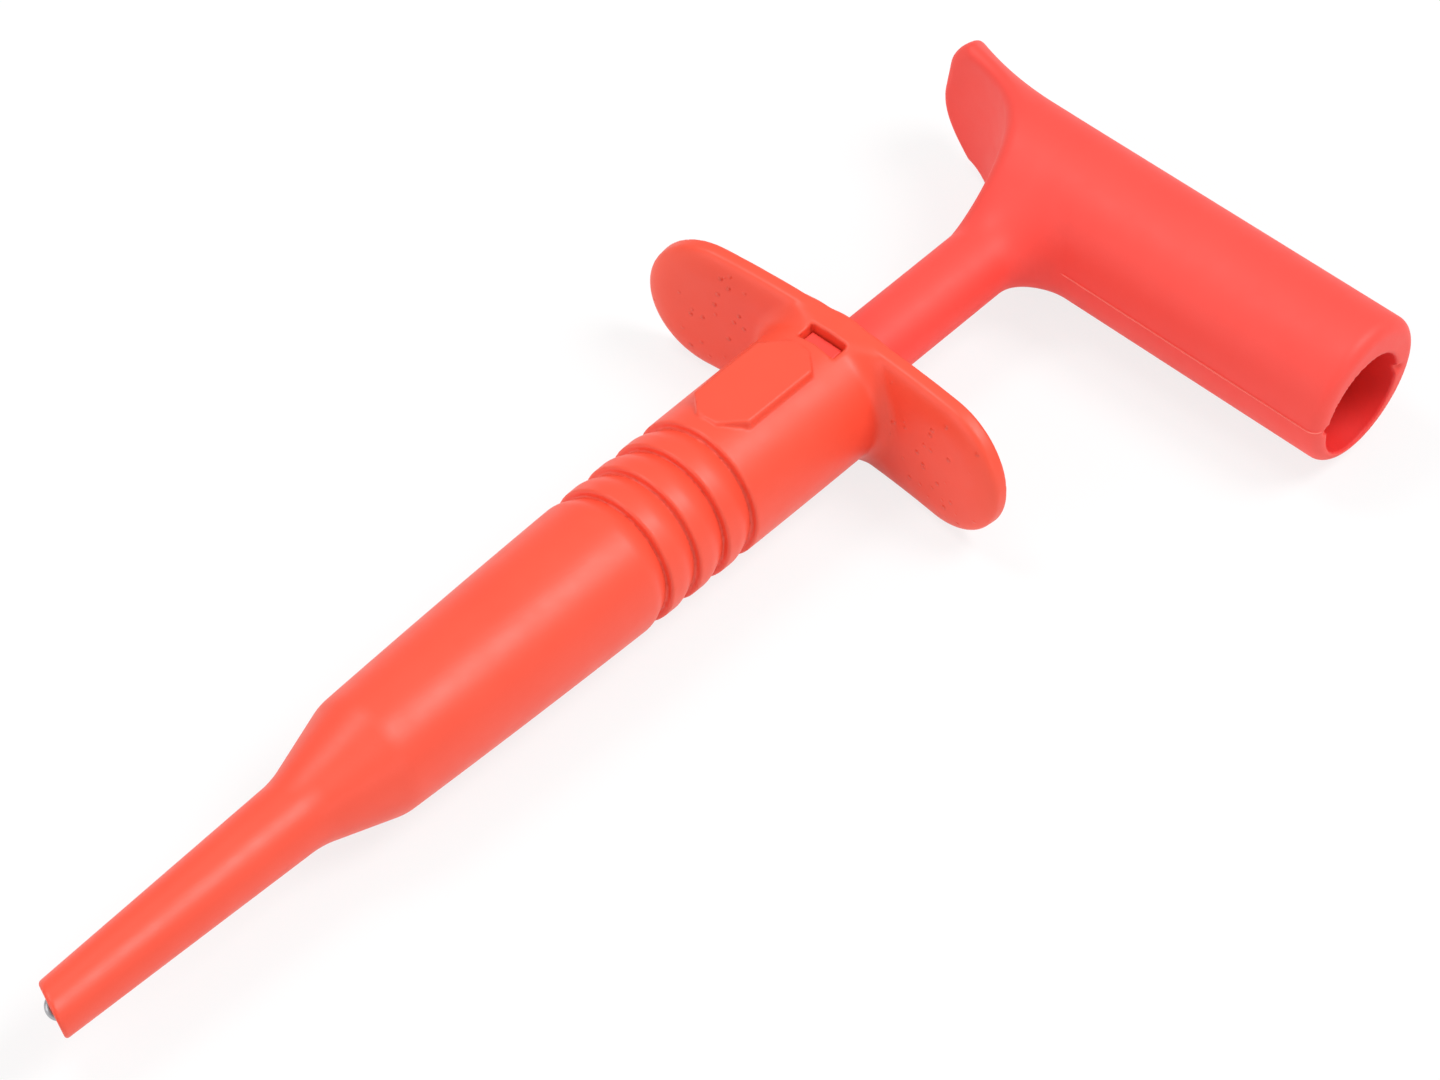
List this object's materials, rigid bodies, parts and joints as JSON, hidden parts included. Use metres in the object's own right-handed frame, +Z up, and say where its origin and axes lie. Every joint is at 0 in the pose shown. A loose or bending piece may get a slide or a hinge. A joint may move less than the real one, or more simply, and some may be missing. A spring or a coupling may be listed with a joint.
{
  "type": "grabber test hook",
  "caption": "Plunger-action grabber test hook: tapered barrel with finger flange and sprung wire hook in its nose, T handle with thumb paddle and shrouded banana socket.",
  "frame": {"origin": "under the middle of the object's box, on the surface that it lies on", "axes": "+X along the barrel towards the hook, +Y towards the socket's mouth, +Z up through the oval pad on the barrel"},
  "size_m": [0.1104, 0.0446, 0.0121],
  "materials": {
    "barrel_plastic": "satin",
    "handle_plastic": "satin",
    "hook_steel": "bright drawn",
    "sleeve_plastic": "satin",
    "ferrule_brass": "turned",
    "spring_steel": "bright drawn",
    "washer_steel": "stamped",
    "contact_brass": "turned"
  },
  "bodies": {
    "barrel_body": {"barrel": "barrel_plastic", "spring_washer": "washer_steel", "return_spring": "spring_steel"},
    "plunger_body": {"plunger_handle": "handle_plastic", "hook_wire": "hook_steel", "shank_sleeve": "sleeve_plastic", "hook_ferrule": "ferrule_brass", "socket_contact": "contact_brass"}
  },
  "joints": [
    {"name": "plunger_slide", "type": "slide", "parent": "barrel_body", "child": "plunger_body", "axis": [1, 0, 0], "range_m": [0, 0.0105], "stiffness_N_per_m": 340, "springref_m": -0.0045, "deforming": ["return_spring"]}
  ]
}
